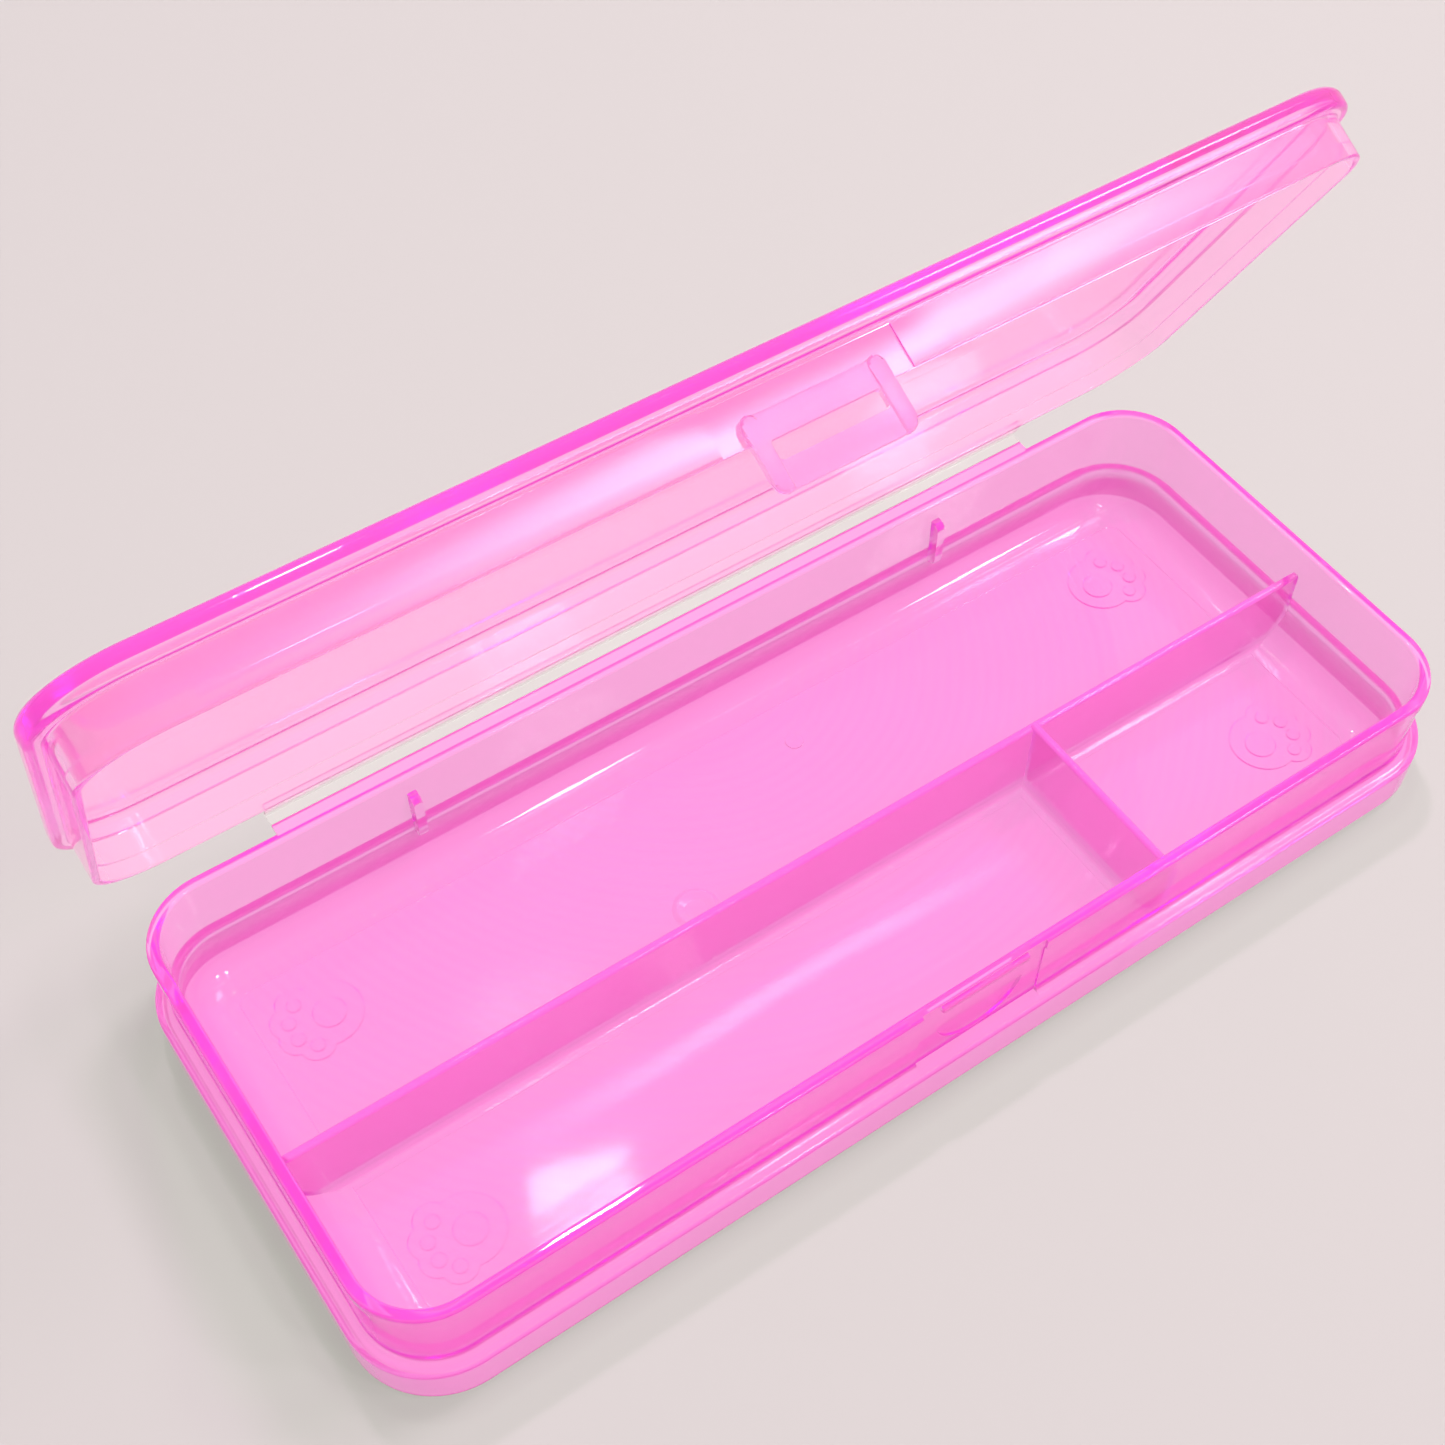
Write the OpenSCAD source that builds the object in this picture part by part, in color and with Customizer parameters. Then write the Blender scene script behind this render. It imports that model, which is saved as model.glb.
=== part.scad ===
/* [Tray] */
// Length of the tray over its rim
tray_l = 200; // [180:1:240]
// Width of the tray over its rim
tray_w = 82; // [76:1:110]
// Height of the tray rim above the table
tray_h = 23.5; // [21:0.5:30]
// Radius of the tray and lid corners seen from above
corner_r = 12; // [11:0.5:18]
// Thickness of the walls and the floor
wall_t = 1.6; // [1.4:0.1:2]
// Radius of the hollow where the wall turns into the floor
floor_r = 7; // [5:0.5:7.5]
// Height of the bead round the rim
bead_h = 2.4; // [2:0.2:3]
// How far the bead stands out of the wall
bead_out = 0.4; // [0.4:0.1:0.8]
// Height of the ledge round the foot of the tray
ledge_h = 8.3; // [7.5:0.1:9]
// How far the ledge stands out past the rim
ledge_out = 2.2; // [1.8:0.1:2.8]

/* [Dividers] */
// Distance of the long divider in front of the middle
long_div_y = 5.3; // [2:0.1:14]
// Distance of the cross divider to the right of the middle
cross_div_x = 38.9; // [20:0.1:60]
// How far the dividers stay below the rim
div_drop = 5.6; // [4:0.2:9]
// Thickness of the dividers
div_t = 1.5; // [1.2:0.1:2]
// Radius of the fillet at the foot of the dividers
div_foot_r = 1.2; // [0.8:0.1:1.6]
// How far the cross divider rises above the long one
cross_rise = 0.4; // [0:0.1:1]

/* [Ribs] */
// Distance of each rear rib from the middle
rib_x = 52.3; // [30:0.1:70]
// Width of a rear rib
rib_t = 1.6; // [1.2:0.1:2.4]
// How far a rear rib stands out of the wall
rib_out = 2; // [1.4:0.1:3]
// How far the rear ribs stay below the rim
rib_drop = 3.9; // [3:0.1:6]

/* [Feet] */
// Distance of the middle of each foot from the end of the tray
foot_end = 19.2; // [18.6:0.1:40]
// Distance of the middle of each foot from the side of the tray
foot_side = 19; // [18.6:0.1:22]
// Height of a foot below the floor
foot_h = 1; // [0.8:0.1:1.4]
// Radius of the round base of a foot
foot_r = 6.3; // [5.6:0.1:6.5]
// Radius of the large pad of a foot
pad_r = 3.1; // [2.6:0.1:3.4]
// Radius of each small pad of a foot
toe_r = 1.25; // [1:0.05:1.4]
// Width of the base round each small pad
toe_edge = 1.75; // [1.4:0.05:2]

/* [Lid] */
// How far the lid reaches past the tray rim at each end
lid_over = 1.5; // [0:0.1:2]
// Height of the lid from its rim to its top
lid_h = 11; // [10:0.5:16]
// Thickness of the lid top
top_t = 1.6; // [1.4:0.1:2]
// Height of the flange round the top of the lid
flange_h = 4; // [3.5:0.1:4.4]
// How far the flange stands out of the lid wall
flange_out = 2.2; // [1.6:0.1:2.6]
// Height of the thinner lip at the lid rim
lip_h = 2.6; // [2:0.1:3.2]
// Thickness of the lip at the lid rim
lip_t = 1.2; // [1:0.1:1.3]
// Angle at which the open lid stands
lid_open = 63; // [20:1:170]

/* [Hinge] */
// Distance of each end of the hinge from the end of the tray
hinge_end = 26; // [19:1:40]
// Distance of the hinge axis behind the rim
hinge_off = 3.6; // [3.2:0.1:4.5]
// Thickness of the two hinge leaves
leaf_t = 1.2; // [1:0.1:1.6]
// Width of each hinge leaf
leaf_w = 1.9; // [1.4:0.1:2.2]
// Thickness of the thin hinge web
web_t = 0.4; // [0.3:0.05:0.5]

/* [Latch] */
// Width of the latch tab
tab_w = 22.2; // [18:0.2:28]
// Width of each arm beside the latch slot
tab_arm = 2.5; // [2:0.1:3]
// How far the latch tab hangs below the lid rim
tab_drop = 7.6; // [7:0.1:8.4]
// How far the latch slot reaches below the lid rim
slot_drop = 3.6; // [3.4:0.1:4]
// How far the latch root reaches up the lid wall
root_rise = 3.6; // [3:0.1:4.5]
// Thickness of the latch tab
tab_t = 1.5; // [1.2:0.1:1.8]
// How far the catch ridge reaches into the latch slot
catch_out = 0.7; // [0.5:0.1:0.9]
// Extra width of the shallow panel round the latch, each side
panel_side = 3.9; // [2:0.1:6]
// Depth of the shallow panel round the latch
panel_in = 0.35; // [0.2:0.05:0.5]
// Depth of the latch seat in the tray wall
seat_in = 0.3; // [0.2:0.05:0.4]
// Depth of the finger scoop under the latch
scoop_in = 0.5; // [0.3:0.05:0.6]
// Height of the finger scoop above the ledge
scoop_rise = 2.1; // [1.5:0.1:2.4]
// How far the lower edge of the finger scoop bows down
scoop_sag = 3; // [2:0.1:4]

/* [Clearances] */
// Gap between the shut lid and the tray rim
close_gap = 0.3; // [0.2:0.05:0.5]
// Gap between the latch tab and the back of its seat
tab_gap = 0.3; // [0.25:0.05:0.4]
// Gap at each side of the latch tab in its seat
seat_side = 0.6; // [0.4:0.1:1]
// Gap at each side of the catch ridge in the latch slot
slot_side = 0.4; // [0.3:0.1:0.8]
// Gap between the moving pieces at a bend
flex_gap = 0.05; // [0.03:0.01:0.1]

/* [Edges] */
// Rounding of the tray rim
rim_r = 0.5; // [0.3:0.1:0.6]
// Rounding of the ledge
ledge_r = 0.8; // [0.4:0.1:1.2]
// Rounding at the foot of the tray
skirt_r = 1.1; // [0.6:0.1:1.2]
// Rounding of the upper edge of the lid flange
flange_top_r = 1.8; // [1:0.1:2]
// Rounding of the lower edge of the lid flange
flange_low_r = 0.8; // [0.4:0.1:1.2]
// Hollow between the lid wall and the lid top
lid_in_r = 1.2; // [0.8:0.1:2]
// Rounding of the corners of the latch
tab_r = 2.4; // [1.6:0.1:2.8]
// Rounding of the corners of the latch slot
slot_r = 0.6; // [0.4:0.1:1]
// Rounding of the nose of the catch ridge
nose_r = 0.45; // [0.3:0.05:0.5]

/* [Hidden] */
$fn = 64;
toe_angles = [-60, -20, 20, 60];
floor_z = foot_h + wall_t;
wall_in = bead_out + wall_t;
axis_y = tray_w / 2 + hinge_off;
axis_z = tray_h + close_gap / 2;
rim_z = tray_h + close_gap;
seat_w = tab_w + 2 * seat_side;
seat_p = -bead_out - seat_in;
tab_p = seat_p + tab_gap;
slot_w = tab_w - 2 * tab_arm;
ridge_w = slot_w - 2 * slot_side;
panel_w = tab_w + 2 * panel_side;
catch_p = tab_p + catch_out;
scoop_top = rim_z - tab_drop - close_gap;
scoop_low = ledge_h + scoop_rise;
hinge_l = tray_l - 2 * hinge_end;
foot_x = tray_l / 2 - foot_end;
foot_y = tray_w / 2 - foot_side;
pink = [1, 0.42, 0.8, 0.75];
pale = [1, 0.85, 0.94, 0.6];

module plan(out, over) {
    l = tray_l + 2 * (out + over);
    w = tray_w + 2 * out;
    r = corner_r + out;
    square([l - 2 * r, w], center = true);
    square([l, w - 2 * r], center = true);
    for (x = [-1, 1], y = [-1, 1]) translate([x * (l / 2 - r), y * (w / 2 - r)]) circle(r);
}

module slab(out, z0, z1, over = 0) {
    translate([0, 0, z0]) linear_extrude(z1 - z0) plan(out, over);
}

module ring(over = 0) {
    cx = tray_l / 2 + over - corner_r;
    cy = tray_w / 2 - corner_r;
    for (k = [0 : 3]) {
        sx = (k == 0 || k == 3) ? 1 : -1;
        sy = (k < 2) ? 1 : -1;
        half = (k % 2 == 0) ? cy : cx;
        far = (k % 2 == 0) ? cx : cy;
        translate([sx * cx, sy * cy, 0]) rotate([0, 0, 90 * k])
            rotate_extrude(angle = 90) translate([corner_r, 0]) children();
        rotate([0, 0, 90 * k]) translate([far + corner_r, half, 0])
            rotate([90, 0, 0]) linear_extrude(2 * half) children();
    }
}

module corner(p, z, r, dp, dz) {
    translate([p, z]) difference() {
        translate([dp > 0 ? 0 : -r - 1, dz > 0 ? 0 : -r - 1]) square(r + 1);
        circle(r);
    }
}

module quarter(r0, r1) {
    difference() {
        intersection() {
            circle(r1);
            translate([0, -r1]) square(r1);
        }
        if (r0 > 0) circle(r0);
    }
}

module tray_cup() {
    bowl_z = floor_z + floor_r;
    slab(-wall_in, bowl_z, tray_h);
    slab(-wall_in - floor_r, floor_z, bowl_z);
    ring() translate([-wall_in - floor_r, bowl_z]) quarter(0, floor_r);
}

module front_block(w, p0, p1, z0, z1) {
    translate([-w / 2, -tray_w / 2 - p1, z0]) cube([w, p1 - p0, z1 - z0]);
}

module front_panel(p0, p1) {
    translate([0, -tray_w / 2 - p0, 0]) rotate([90, 0, 0]) linear_extrude(p1 - p0) children();
}

module tray_shell() {
    color(pink) difference() {
        union() {
            ring() tray_wall();
            slab(-wall_in - floor_r, foot_h, floor_z);
        }
        front_block(seat_w, seat_p, ledge_out + 1, ledge_h, tray_h + 1);
        front_panel(seat_p - scoop_in, seat_p + 1) scoop_outline();
    }
}

module tray_wall() {
    bowl_z = floor_z + floor_r;
    low = ledge_h - wall_t;
    mid_p = -bead_out - wall_t / 2;
    difference() {
        union() {
            translate([-wall_in, bowl_z]) square([wall_t, tray_h - bowl_z]);
            translate([-wall_in, tray_h - bead_h]) square([wall_in, bead_h]);
            translate([mid_p, low]) square([ledge_out - mid_p, wall_t]);
            translate([ledge_out - wall_t, 0]) square([wall_t, ledge_h]);
            translate([-wall_in - floor_r, bowl_z]) quarter(floor_r, floor_r + wall_t);
        }
        corner(-rim_r, tray_h - rim_r, rim_r, 1, 1);
        corner(-wall_in + rim_r, tray_h - rim_r, rim_r, -1, 1);
        corner(ledge_out - ledge_r, ledge_h - ledge_r, ledge_r, 1, 1);
        corner(ledge_out - skirt_r, skirt_r, skirt_r, 1, -1);
    }
}

module scoop_outline() {
    half = ridge_w / 2;
    r = (half * half + scoop_sag * scoop_sag) / (2 * scoop_sag);
    intersection() {
        translate([-half, scoop_low]) square([2 * half, scoop_top - scoop_low]);
        translate([0, scoop_low + r]) circle(r);
    }
}

module divider_section(h) {
    r = div_foot_r;
    top = h - div_t / 2;
    translate([-div_t / 2, floor_z - 1]) square([div_t, top - floor_z + 1]);
    translate([0, top]) circle(div_t / 2);
    for (s = [-1, 1]) difference() {
        translate([s > 0 ? 0 : -div_t / 2 - r, floor_z - 1]) square([div_t / 2 + r, 1 + r]);
        translate([s * (div_t / 2 + r), floor_z + r]) circle(r);
    }
}

module long_bar() {
    intersection() {
        tray_cup();
        translate([-tray_l / 2, -long_div_y, 0]) rotate([90, 0, 90]) linear_extrude(tray_l)
            divider_section(tray_h - div_drop);
    }
}

module long_divider() {
    color(pink) long_bar();
}

module cross_divider() {
    color(pink) difference() {
        intersection() {
            tray_cup();
            translate([cross_div_x, -long_div_y, 0]) rotate([90, 0, 0]) linear_extrude(tray_w)
                divider_section(tray_h - div_drop + cross_rise);
        }
        long_bar();
    }
}

module rear_rib(x) {
    top = tray_h - rib_drop;
    y = tray_w / 2 - wall_in;
    intersection() {
        tray_cup();
        translate([x - rib_t / 2, y, 0]) rotate([90, 0, 90]) linear_extrude(rib_t)
            polygon([[1, 0], [-rib_out, 0], [-rib_out, top - rib_out / 2], [-rib_out / 2, top], [1, top]]);
    }
}

module rear_rib_left() {
    color(pink) rear_rib(-rib_x);
}

module rear_rib_right() {
    color(pink) rear_rib(rib_x);
}

module paw(side) {
    base_h = foot_h / 2;
    toe_ring = foot_r - toe_r;
    translate([-side * toe_r, 0, base_h]) cylinder(h = base_h, r = foot_r);
    translate([-side * toe_edge, 0, 0]) cylinder(h = base_h, r = pad_r);
    for (a = toe_angles) rotate([0, 0, a]) translate([side * toe_ring, 0, 0]) {
        cylinder(h = base_h, r = toe_r);
        translate([0, 0, base_h]) cylinder(h = base_h, r = toe_r + toe_edge);
    }
}

module foot(sx, sy) {
    translate([sx * foot_x, sy * foot_y, 0]) paw(sx);
}

module foot_back_left() {
    color(pink) foot(-1, 1);
}

module foot_back_right() {
    color(pink) foot(1, 1);
}

module foot_front_left() {
    color(pink) foot(-1, -1);
}

module foot_front_right() {
    color(pink) foot(1, -1);
}

module catch_ridge() {
    color(pink) translate([-ridge_w / 2, -tray_w / 2, tray_h - bead_h / 2]) rotate([90, 0, 90])
        linear_extrude(ridge_w) rotate(-90) tab_corners(bead_h - 2 * rim_r, -catch_p, -seat_p, nose_r);
}

module leaf(z0, z1) {
    translate([-hinge_l / 2, tray_w / 2, z0]) cube([hinge_l, leaf_w, z1 - z0]);
}

function turned(p) = [
    p[0] * cos(lid_open) + p[1] * sin(lid_open),
    p[1] * cos(lid_open) - p[0] * sin(lid_open)
];

module opened() {
    translate([0, axis_y, axis_z]) rotate([-lid_open, 0, 0]) translate([0, -axis_y, -axis_z]) children();
}

module tray_hinge_leaf() {
    color(pink) leaf(tray_h - leaf_t, tray_h);
}

module hinge_web() {
    near = leaf_w - hinge_off;
    low = close_gap / 2;
    high = low + web_t;
    lid_side = [[0, high], [near + flex_gap, high], [near + flex_gap, low], [0, low]];
    tray_side = [[0, -low], [near, -low], [near, -high], [0, -high]];
    color(pale) translate([-hinge_l / 2, axis_y, axis_z]) rotate([90, 0, 90]) linear_extrude(hinge_l)
        polygon(concat([for (p = lid_side) turned(p)], tray_side));
}

module lid_hinge_leaf() {
    color(pink) opened() leaf(rim_z, rim_z + leaf_t);
}

module lid_shell() {
    color(pink) opened() difference() {
        union() {
            ring(lid_over) translate([0, rim_z]) lid_wall();
            slab(-wall_t - lid_in_r, rim_z + lid_h - top_t, rim_z + lid_h, lid_over);
        }
        front_block(panel_w, -panel_in, flange_out, rim_z - 1, rim_z + lid_h - flange_h);
    }
}

module lid_wall() {
    low = lid_h - flange_h;
    difference() {
        union() {
            translate([-lip_t, 0]) square([lip_t, lid_h]);
            translate([-wall_t, lip_h]) square([wall_t, lid_h - lip_h]);
            translate([-wall_t - lid_in_r, lid_h - top_t]) square([wall_t + lid_in_r, top_t]);
            translate([-wall_t - lid_in_r, lid_h - top_t - lid_in_r]) difference() {
                square(lid_in_r);
                circle(lid_in_r);
            }
            translate([-lip_t, low]) square([lip_t + flange_out, flange_h]);
        }
        corner(flange_out - flange_top_r, lid_h - flange_top_r, flange_top_r, 1, 1);
        corner(flange_out - flange_low_r, low + flange_low_r, flange_low_r, 1, -1);
    }
}

module tab_corners(w, z0, z1, r) {
    intersection() {
        translate([-w / 2, z0]) square([w, z1 - z0]);
        union() {
            translate([-w / 2, z0 + r]) square([w, z1 - z0]);
            translate([-w / 2 + r, z0]) square([w - 2 * r, z1 - z0]);
            for (s = [-1, 1]) translate([s * (w / 2 - r), z0 + r]) circle(r);
        }
    }
}

module latch_root() {
    color(pink) opened() front_panel(-panel_in, tab_p + tab_t)
        translate([0, rim_z]) mirror([0, 1]) tab_corners(tab_w, -root_rise, -flex_gap, tab_r);
}

module latch_tab() {
    color(pink) opened() front_panel(tab_p, tab_p + tab_t) translate([0, rim_z]) difference() {
        tab_corners(tab_w, -tab_drop, 0, tab_r);
        tab_corners(slot_w, -slot_drop, 1, slot_r);
    }
}

tray_shell();
long_divider();
cross_divider();
rear_rib_left();
rear_rib_right();
foot_back_left();
foot_back_right();
foot_front_left();
foot_front_right();
catch_ridge();
tray_hinge_leaf();
hinge_web();
lid_hinge_leaf();
lid_shell();
latch_root();
latch_tab();
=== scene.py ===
"""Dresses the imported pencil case: clear pink tray and lid, the thin hinge between them and the snap latch."""
import logging
import math
from collections.abc import Iterable, Mapping, Sequence
from dataclasses import dataclass
from enum import Enum

import bmesh
import bpy
from mathutils import Matrix, Vector


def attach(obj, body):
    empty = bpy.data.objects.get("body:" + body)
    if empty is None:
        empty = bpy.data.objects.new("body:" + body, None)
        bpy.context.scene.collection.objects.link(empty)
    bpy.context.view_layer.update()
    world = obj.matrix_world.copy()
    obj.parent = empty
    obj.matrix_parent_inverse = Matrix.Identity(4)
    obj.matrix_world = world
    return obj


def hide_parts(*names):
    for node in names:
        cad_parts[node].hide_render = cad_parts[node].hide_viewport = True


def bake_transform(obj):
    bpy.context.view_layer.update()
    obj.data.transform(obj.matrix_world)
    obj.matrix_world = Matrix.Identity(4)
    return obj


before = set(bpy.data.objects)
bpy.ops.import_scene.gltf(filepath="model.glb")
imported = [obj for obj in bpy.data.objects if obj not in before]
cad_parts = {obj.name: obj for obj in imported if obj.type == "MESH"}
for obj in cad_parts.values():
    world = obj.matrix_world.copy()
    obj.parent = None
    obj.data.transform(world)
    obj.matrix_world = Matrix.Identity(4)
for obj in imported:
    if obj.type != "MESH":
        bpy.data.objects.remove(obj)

LOG = logging.getLogger("pencil_case")
MM = 0.001  # one mm in metres
SKIM = 0.02  # mm, keeps two faces out of one plane
WELD = 0.002 * MM  # points nearer than this are joined
SLIVER = 0.001 * MM  # edges shorter than this are removed
CUT = 1e-7  # points this near to a cut lie on it
# How a section's two directions and its line lie along the tray's axes.
ALONG_X = Matrix(((0, 0, 1), (1, 0, 0), (0, 1, 0)))
ALONG_Y = Matrix(((1, 0, 0), (0, 0, 1), (0, 1, 0)))
SIDES = (-1, 1)
Pair = tuple[float, float]
Colour = Point = tuple[float, float, float]
Solid = bpy.types.Object
Socket = bpy.types.NodeSocket
Inputs = Mapping[str | int, object]


class Join(Enum):
    """How other solids are put together with a first one."""

    ADD = "UNION"
    TAKE = "DIFFERENCE"
    KEEP = "INTERSECT"


class Body(Enum):
    """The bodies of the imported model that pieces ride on."""

    TRAY = "tray"
    LID = "lid"
    LATCH = "latch"


class Slot(Enum):
    """The record's material slots."""

    PLASTIC = "plastic"
    WEB = "web"


@dataclass(frozen=True)
class Turn:
    """One corner of a section, in mm, rounded to its own radius."""

    out: float
    up: float
    radius: float = 0.0
    steps: int = 4

    @property
    def point(self) -> Vector:
        """The corner itself, before it is rounded."""
        return Vector((self.out, self.up))


@dataclass(frozen=True)
class Spot:
    """A round mark on the floor of the tray, in mm: its rise over the floor, its root in it, and its edge."""

    centre: Pair
    radius: float
    rise: float
    root: float
    edge: float


def rounded(turns: Sequence[Turn], closed: bool = False) -> list[Vector]:
    """Rounds the corners of a section.

    Args:
        turns: The corners in order.
        closed: Whether the last corner joins the first.

    Returns:
        The points of the rounded section.
    """
    points: list[Vector] = []
    count = len(turns)
    for i, turn in enumerate(turns):
        here = turn.point
        if not turn.radius or (not closed and i in (0, count - 1)):
            points.append(here)
            continue
        back = (turns[i - 1].point - here).normalized()
        ahead = (turns[(i + 1) % count].point - here).normalized()
        half = back.angle(ahead) / 2
        centre = here + (back + ahead).normalized() * (turn.radius / math.sin(half))
        start = here + back * (turn.radius / math.tan(half)) - centre
        sweep = start.angle_signed(here + ahead * (turn.radius / math.tan(half)) - centre)
        for step in range(turn.steps + 1):
            points.append(centre + Matrix.Rotation(-sweep * step / turn.steps, 2) @ start)
    return points


def new_object(name: str, mesh: bmesh.types.BMesh) -> Solid:
    """Makes an object of a mesh, with its faces turned outwards.

    Args:
        name: The object's name.
        mesh: The mesh in mm, which is freed.

    Returns:
        The object, in metres.
    """
    bmesh.ops.recalc_face_normals(mesh, faces=mesh.faces[:])
    bmesh.ops.scale(mesh, vec=(MM, MM, MM), verts=mesh.verts[:])
    data = bpy.data.meshes.new(name)
    mesh.to_mesh(data)
    mesh.free()
    made = bpy.data.objects.new(name, data)
    bpy.context.scene.collection.objects.link(made)
    return made


def prism(name: str, section: Sequence[Vector], length: Pair, axes: Matrix, edge: float = 0.0) -> Solid:
    """Pulls a closed section along a straight line.

    Args:
        name: The object's name.
        section: The points of the section, in mm.
        length: Where it starts and ends along its line, in mm.
        axes: The turn that lays the section's two directions and its line along the tray's.
        edge: The rounding of the two end faces, in mm.

    Returns:
        The solid.
    """
    mesh = bmesh.new()
    near, far = ([mesh.verts.new(axes @ Vector((p.x, p.y, end))) for p in section] for end in length)
    caps = [mesh.faces.new(near), mesh.faces.new(far)]
    for i in range(len(section)):
        j = (i + 1) % len(section)
        mesh.faces.new((near[i], near[j], far[j], far[i]))
    if edge:
        rims = list({e for cap in caps for e in cap.edges})
        bmesh.ops.bevel(mesh, geom=rims, offset=edge, segments=3, profile=0.5, affect="EDGES",
                        clamp_overlap=True)
    return new_object(name, mesh)


def button(name: str, section: Sequence[Vector], centre: Pair, sides: int = 32) -> Solid:
    """Turns a section round an upright line.

    Args:
        name: The object's name.
        section: The points of the section from the line at the foot to the line at the top, in mm.
        centre: Where the line stands along and across the tray, in mm.
        sides: How many steps the turn has.

    Returns:
        The solid.
    """
    mesh = bmesh.new()
    angles = [math.tau * k / sides for k in range(sides)]
    rings = [[mesh.verts.new((centre[0] + p.x * math.cos(a), centre[1] + p.x * math.sin(a), p.y))
              for a in angles] for p in section[1:-1]]
    mesh.faces.new(rings[0])
    mesh.faces.new(rings[-1])
    for low, high in zip(rings, rings[1:]):
        for k in range(sides):
            mesh.faces.new((low[k], low[(k + 1) % sides], high[(k + 1) % sides], high[k]))
    return new_object(name, mesh)


def settle(piece: Solid) -> None:
    """Works an object's modifiers into its mesh.

    Args:
        piece: The object.
    """
    bpy.context.view_layer.update()
    ready = piece.evaluated_get(bpy.context.evaluated_depsgraph_get())
    result = bpy.data.meshes.new_from_object(ready)
    piece.modifiers.clear()
    old = piece.data
    piece.data = result
    bpy.data.meshes.remove(old)


def combine(first: Solid, how: Join, *others: Solid) -> Solid:
    """Puts solids together into the first one, in order, and removes the others.

    Args:
        first: The solid that stays.
        how: Whether the others are added, taken away, or kept to.
        others: The solids that are used up.

    Returns:
        The first solid.
    """
    for other in others:
        modifier = first.modifiers.new("combine", "BOOLEAN")
        modifier.operation = how.value
        modifier.solver = "EXACT"
        modifier.object = other
        settle(first)
        bpy.data.objects.remove(other)
    return first


def finish_faces(piece: Solid, angle: float = 32.0) -> None:
    """Cleans a mesh and shades it smooth, with crisp edges where it turns sharply.

    Args:
        piece: The object.
        angle: The turn in degrees from which an edge stays crisp.
    """
    mesh = bmesh.new()
    mesh.from_mesh(piece.data)
    bmesh.ops.remove_doubles(mesh, verts=mesh.verts[:], dist=WELD)
    bmesh.ops.dissolve_degenerate(mesh, edges=mesh.edges[:], dist=SLIVER)
    mesh.to_mesh(piece.data)
    mesh.free()
    for face in piece.data.polygons:
        face.use_smooth = True
    piece.data.set_sharp_from_angle(angle=math.radians(angle))
    modifier = piece.modifiers.new("even_normals", "WEIGHTED_NORMAL")
    modifier.keep_sharp = True
    settle(piece)


@dataclass(frozen=True)
class Outline:
    """The rounded rectangle that the tray and the lid share, seen from above, in mm."""

    length: float = 200.0
    width: float = 82.0
    corner: float = 12.0
    corner_steps: int = 18
    side_step: float = 11.0

    @property
    def back(self) -> float:
        """Where the back of the outline is, and with a minus the front."""
        return self.width / 2

    def stations(self, over: float) -> list[tuple[Vector, Vector]]:
        """Walks once round the outline.

        Args:
            over: How much further each end reaches, in mm.

        Returns:
            Pairs of a corner's centre and the outward direction.
        """
        cx, cy = self.length / 2 + over - self.corner, self.width / 2 - self.corner
        centres = [Vector((cx, cy)), Vector((-cx, cy)), Vector((-cx, -cy)), Vector((cx, -cy))]
        walk = []
        for k, centre in enumerate(centres):
            for step in range(self.corner_steps + 1):
                angle = math.pi / 2 * (k + step / self.corner_steps)
                walk.append((centre, Vector((math.cos(angle), math.sin(angle)))))
            following = centres[(k + 1) % len(centres)]
            parts = round((following - centre).length / self.side_step)
            walk += [(centre.lerp(following, i / parts), walk[-1][1]) for i in range(1, parts)]
        return walk

    def sweep(self, name: str, section: Sequence[Vector], over: float = 0.0) -> Solid:
        """Carries a section round the outline and closes it at both ends.

        Args:
            name: The object's name.
            section: Points of distance out of the outline and height, in mm.
            over: How much further each end reaches, in mm.

        Returns:
            The solid.
        """
        mesh = bmesh.new()
        rows = []
        for centre, way in self.stations(over):
            rows.append([mesh.verts.new((*(centre + way * (self.corner + p.x)), p.y)) for p in section])
        for row, following in zip(rows, rows[1:] + rows[:1]):
            for i in range(len(section) - 1):
                mesh.faces.new((row[i], following[i], following[i + 1], row[i + 1]))
        for i in (0, -1):
            mesh.faces.new([row[i] for row in rows])
        return new_object(name, mesh)


@dataclass(frozen=True)
class HingeLine:
    """The line that the lid turns about, and the stiff edges along it, in mm."""

    y: float = 44.6
    z: float = 23.65
    half: float = 74.0
    opened: float = 63.0
    leaf_width: float = 1.9
    leaf_thick: float = 1.2
    leaf_round: float = 0.25
    leaf_end: float = 0.2

    def lid_turn(self) -> Matrix:
        """Gives the lid's turn from shut to open, in metres.

        Returns:
            The matrix.
        """
        middle = Vector((0.0, self.y, self.z)) * MM
        turn = Matrix.Rotation(math.radians(-self.opened), 4, "X")
        return Matrix.Translation(middle) @ turn @ Matrix.Translation(-middle)

    def leaf(self, root: float, back: float, low: float, high: float) -> Solid:
        """Makes a stiff edge of the hinge.

        Args:
            root: Where it starts, inside the wall that carries it.
            back: The back of that wall.
            low: Height of its lower side.
            high: Height of its upper side.

        Returns:
            The solid.
        """
        outer = back + self.leaf_width
        section = rounded([Turn(root, low), Turn(outer, low, self.leaf_round),
                           Turn(outer, high, self.leaf_round), Turn(root, high)], closed=True)
        return prism("leaf", section, (-self.half, self.half), ALONG_X, self.leaf_end)


def opaque(colour: Colour, times: float = 1.0) -> tuple[float, ...]:
    """Gives a colour that covers fully, made brighter or darker."""
    return (*(min(1.0, c * times) for c in colour), 1.0)


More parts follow.
